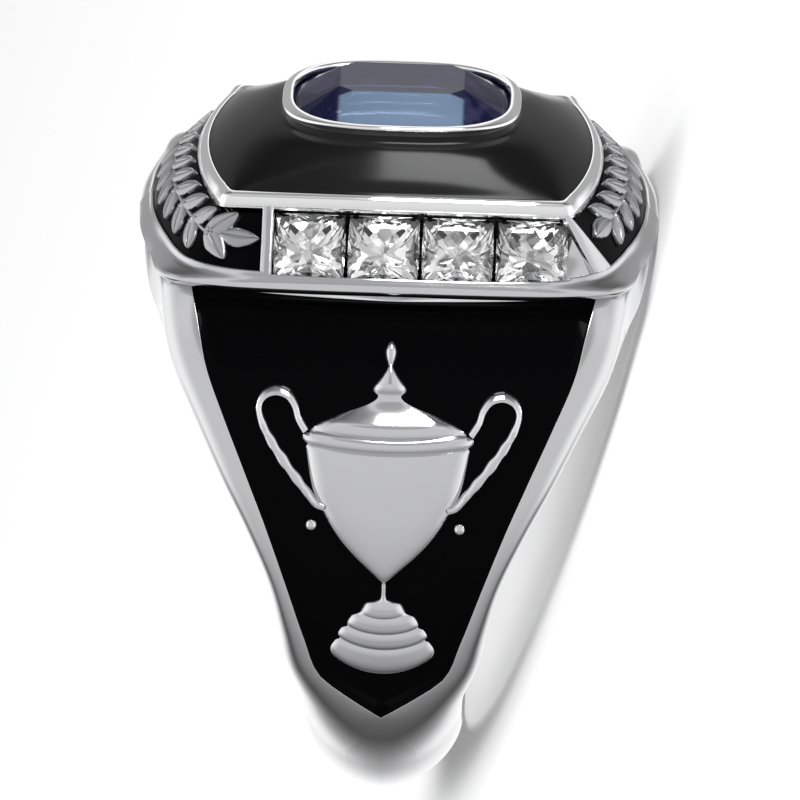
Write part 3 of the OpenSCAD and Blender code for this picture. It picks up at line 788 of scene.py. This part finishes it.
def inside(tree, *limits):
    """The share to which all limits are met, each a value, where it starts and where it is full."""
    share = None
    for value, start, full in limits:
        soft = {"interpolation_type": "SMOOTHSTEP", "From Min": start, "From Max": full}
        edge = add(tree, "ShaderNodeMapRange", soft, {"Value": value})
        if share is not None:
            edge = add(tree, "ShaderNodeMath", {"operation": "MULTIPLY"}, {0: share, 1: edge.outputs[0]})
        share = edge.outputs[0]
    return share


# the body's colour, and what is laid over it in turn: the corners' painted shade, clouds under the table, and
# the long facets' painted light
body = None
for share, code in ((inside(tree, (far["x"], 2.2, 2.7)), "0E1030"),
                    (inside(tree, (grain(tree, mm=1.5), 0.5, 0.62)), "2C2A48"),
                    (inside(tree, (far["y"], 1.5, 1.62), (far["x"], 2.55, 2.35)), "66788F")):
    colours = {"data_type": "RGBA", 6: colour("24283A"), 7: colour(code)}
    layer = add(tree, "ShaderNodeMix", colours, {0: share})
    if body is not None:
        tree.links.new(body, layer.inputs[6])
    body = layer.outputs[2]
tree.links.new(body, shader.inputs["Base Color"])
bpy.data.objects["centre_stone"].material_slots[0].material = blue_stone

# Side stones: four square clear stones in a channel on each long slope, cut with a table, a stepped crown and
# rows of small facets that run down to a pointed base. Small cells painted darker and lighter in the stone's
# colour stand for the finer facets: painted glints that break up the stone's light.
clear_stone, tree, shader = new_finish("cut_clear_stone", Roughness=0.0, IOR=2.15, Transmission_Weight=1.0)
place = add(tree, "ShaderNodeTexCoord")
glint_mm = 0.5
cells = add(tree, "ShaderNodeTexVoronoi", {"Scale": 1000 / glint_mm}, {"Vector": place.outputs["Object"]})
painted_glints = add(tree, "ShaderNodeMapRange", {"From Min": 0.15, "From Max": 0.6, "To Min": 0.04, "To Max": 1.0},
             {"Value": cells.outputs["Color"]})
tree.links.new(painted_glints.outputs["Result"], shader.inputs["Base Color"])
# height, half width, squareness and turn of each row of corners, eight to a row
square_half, square_pitch, corner_turn = 1.4, 2.9, 45
cut_rows = [
    (0.34, 0.66, 5, 0), (0.2, 0.86, 7, 0.5), (0.0, 1.0, 40, 0), (-0.1, 1.0, 40, 0), (-0.38, 0.88, 6, 0.5),
    (-0.72, 0.7, 5, 0), (-1.06, 0.5, 4, 0.5), (-1.4, 0.29, 3, 0), (-1.8, 0.0, 2, 0)]


def square_cut():
    """A square stone about its own middle, as the tightest skin round all corners of its facets."""
    bm = bmesh.new()
    for z, half, square, turn in cut_rows:
        for k in range(8):
            a = radians(corner_turn * (k + turn))
            c, d = cos(a), sin(a)
            reach = square_half * half / (abs(c)**square + abs(d)**square)**(1 / square)
            bmesh.ops.create_vert(bm, co=(reach * c, reach * d, z))
    bmesh.ops.remove_doubles(bm, verts=bm.verts, dist=1e-4)
    bmesh.ops.convex_hull(bm, input=bm.verts)
    bmesh.ops.delete(bm, geom=[v for v in bm.verts if not v.link_faces], context="VERTS")
    bmesh.ops.dissolve_limit(bm, angle_limit=radians(1), verts=bm.verts, edges=bm.edges)
    return bm


up_slope, below_slope = 1.49, -0.42
for side, way in (("front", 1), ("back", -1)):
    for i in range(1, 5):
        bm = square_cut()
        place = (row_start + (i - 0.5) * square_pitch, up_slope, below_slope)
        bmesh.ops.translate(bm, verts=bm.verts, vec=place)
        bmesh.ops.transform(bm, verts=bm.verts, matrix=Matrix.Scale(way, 4, (0, 1, 0)) @ on_slope)
        bmesh.ops.recalc_face_normals(bm, faces=bm.faces)
        make_piece(f"clear_stone_{side}_{i}", bm, clear_stone, "clear_stone", f"side_stone_{side}_{i}",
                   rounded=False)

# Floor: a table covered with matt white paper, under the ring's lowest points. It is evenly pale without any
# shine and takes a soft shadow, and the metal doesn't mirror it.
floor_z, floor_half = -0.00631, 2.5
paper, tree, shader = new_finish("matt_white_paper", Base_Color=colour("F2F2F2"), Roughness=0.9)
haze(tree, shader, mm=3, detail=2, low=0.88, high=0.92)
bm = bmesh.new()
bmesh.ops.create_grid(bm, x_segments=2, y_segments=2, size=floor_half)
bmesh.ops.translate(bm, verts=bm.verts, vec=(0, 0, floor_z))
mesh = bpy.data.meshes.new("table")
bm.to_mesh(mesh)
bm.free()
mesh.materials.append(paper)
table = bpy.data.objects.new("table", mesh)
bpy.context.scene.collection.objects.link(table)
table.visible_glossy = False

# Light: an even, bright studio round the ring, darker from below it and dim behind its ends, with a grey card
# high in front. It is built on the ring's own axes, because it was set up for a ring that stands.
ring_x, ring_up = ((lay.to_3x3() @ Vector(axis)).normalized() for axis in ((1, 0, 0), (0, 0, 1)))
card_angle = radians(69)
card_axis = Vector((0, -cos(card_angle), 0)) + ring_up * sin(card_angle)
world = bpy.data.worlds.new("studio")
world.use_nodes = True
tree = world.node_tree
way = add(tree, "ShaderNodeTexCoord")
towards = {}
for key, axis in (("end", ring_x), ("up", ring_up), ("front", (0, -1, 0)), ("back", (0, 1, 0)),
                  ("card", card_axis)):
    along = add(tree, "ShaderNodeVectorMath", {"operation": "DOT_PRODUCT", 1: axis},
                {0: way.outputs["Generated"]})
    towards[key] = along.outputs["Value"]
# light by degrees round the ring: level in front at 0, overhead at 90, behind at 180, underneath at -90
tent = [
    (-180, 1.1), (-140, 1.1), (-130, 0.9), (-120, 0.58), (-110, 0.36), (-102, 0.22), (-94, 0.11), (-84, 0.17),
    (-75, 0.28), (-57, 0.44), (-39, 0.58), (-20, 0.69), (0, 0.78), (30, 0.82), (60, 0.82), (75, 0.9),
    (84, 0.8), (92, 0.42), (100, 0.32), (114, 0.32), (130, 0.5), (142, 0.95), (156, 1.12), (180, 1.1)]
turn = add(tree, "ShaderNodeMath", {"operation": "ARCTAN2"}, {0: towards["up"], 1: towards["front"]})
share = add(tree, "ShaderNodeMapRange", {"From Min": -pi, "From Max": pi}, {"Value": turn.outputs["Value"]})
ramp = add(tree, "ShaderNodeValToRGB", links={"Fac": share.outputs["Result"]})
while len(ramp.color_ramp.elements) < len(tent):
    ramp.color_ramp.elements.new(0.5)
for element, (angle, light) in zip(ramp.color_ramp.elements, tent):
    element.position = (angle + 180) / 360
    element.color = (light, light, light, 1)
sideways = add(tree, "ShaderNodeMath", {"operation": "ABSOLUTE"}, {0: towards["end"]}).outputs["Value"]

# the studio's bright sides, then the dim part behind the ring's ends and the card, of which the darker counts
side_light, open_light, dim_share, card_share = 0.85, 1.3, 0.4, 0.62
side_fill = inside(tree, (sideways, 0.3, 0.55), (towards["up"], -0.35, 0.05))
fill = add(tree, "ShaderNodeMath", {"operation": "MULTIPLY", 1: side_light}, {0: side_fill})
light = add(tree, "ShaderNodeMath", {"operation": "MAXIMUM"},
            {0: ramp.outputs["Color"], 1: fill.outputs["Value"]}).outputs["Value"]
open_side = inside(tree, (sideways, 0.5, 0.97), (towards["up"], -0.75, -0.2))
light = add(tree, "ShaderNodeMix", {"data_type": "FLOAT", 3: open_light}, {0: open_side, 2: light}).outputs[0]
behind = inside(tree, (towards["back"], 0.15, 0.5), (towards["up"], -0.28, -0.12),
                (sideways, 0.05, 0.16), (sideways, 0.75, 0.55))
card = inside(tree, (towards["card"], 0.965, 0.988))
dims = [add(tree, "ShaderNodeMix", {"data_type": "FLOAT", 2: 1.0, 3: level}, {0: share}).outputs[0]
        for share, level in ((behind, dim_share), (card, card_share))]
darker = add(tree, "ShaderNodeMath", {"operation": "MINIMUM"}, {0: dims[0], 1: dims[1]})
light = add(tree, "ShaderNodeMath", {"operation": "MULTIPLY"},
            {0: light, 1: darker.outputs["Value"]}).outputs["Value"]
tree.links.new(light, tree.nodes["Background"].inputs["Color"])
bpy.context.scene.world = world
bpy.context.scene.view_settings.view_transform = "Standard"


def softbox(name, place, aim, across, width, height, brightness):
    """A rectangular lamp at a place, turned to its aim, with its width along a direction."""
    light = bpy.data.lights.new(name, "AREA")
    light.shape, light.size, light.size_y = "RECTANGLE", width, height
    light.energy = brightness * pi * width * height
    back = (place - aim).normalized()
    side = (across - back * across.dot(back)).normalized()
    lamp = bpy.data.objects.new(name, light)
    turn = Matrix((side, back.cross(side), back)).transposed().to_4x4()
    lamp.matrix_world = Matrix.Translation(place) @ turn
    lamp.visible_camera = False
    bpy.context.scene.collection.objects.link(lamp)
    return lamp


# a wide lamp overhead that the metal doesn't mirror, and a small window that lights up the dome's front
overhead = softbox("overhead", Vector((0.05, -0.1, 0.5)), Vector(), Vector((1, 0, 0)),
                   width=0.7, height=0.7, brightness=0.95)
overhead.visible_glossy = False
softbox("window_over_dome", lay @ Vector((2.1, -6.9, 26)), lay @ Vector((2.1, -6.9, 14)), ring_x,
        width=0.0064, height=0.009, brightness=10)

# Camera: far off, at the photo's angle to the ring. Its long lens and its two shifts put the ring in the
# same place in the frame and at the same size.
elevation, roll, yaw = radians(23), radians(1.5), radians(-1)
distance, shift_right, shift_up, lens, sensor = 0.5, 0.000292, 0.00246, 562.5, 36
view = Vector((0, cos(elevation), -sin(elevation)))
right = Vector((1, 0, 0))
up = right.cross(view)
right, up = right * cos(roll) + up * sin(roll), up * cos(roll) - right * sin(roll)
unturn = Matrix.Rotation(yaw, 3, "Z").transposed()
right, up, view = ((lay.to_3x3() @ (unturn @ axis)).normalized() for axis in (right, up, view))
camera = bpy.data.objects.new("camera", bpy.data.cameras.new("camera"))
camera.data.lens, camera.data.sensor_width = lens, sensor
camera.data.clip_start, camera.data.clip_end = 0.05, 20
place = -distance * view + shift_right * right + shift_up * up
camera.matrix_world = Matrix.Translation(place) @ Matrix((right, up, -view)).transposed().to_4x4()
bpy.context.scene.collection.objects.link(camera)
bpy.context.scene.camera = camera
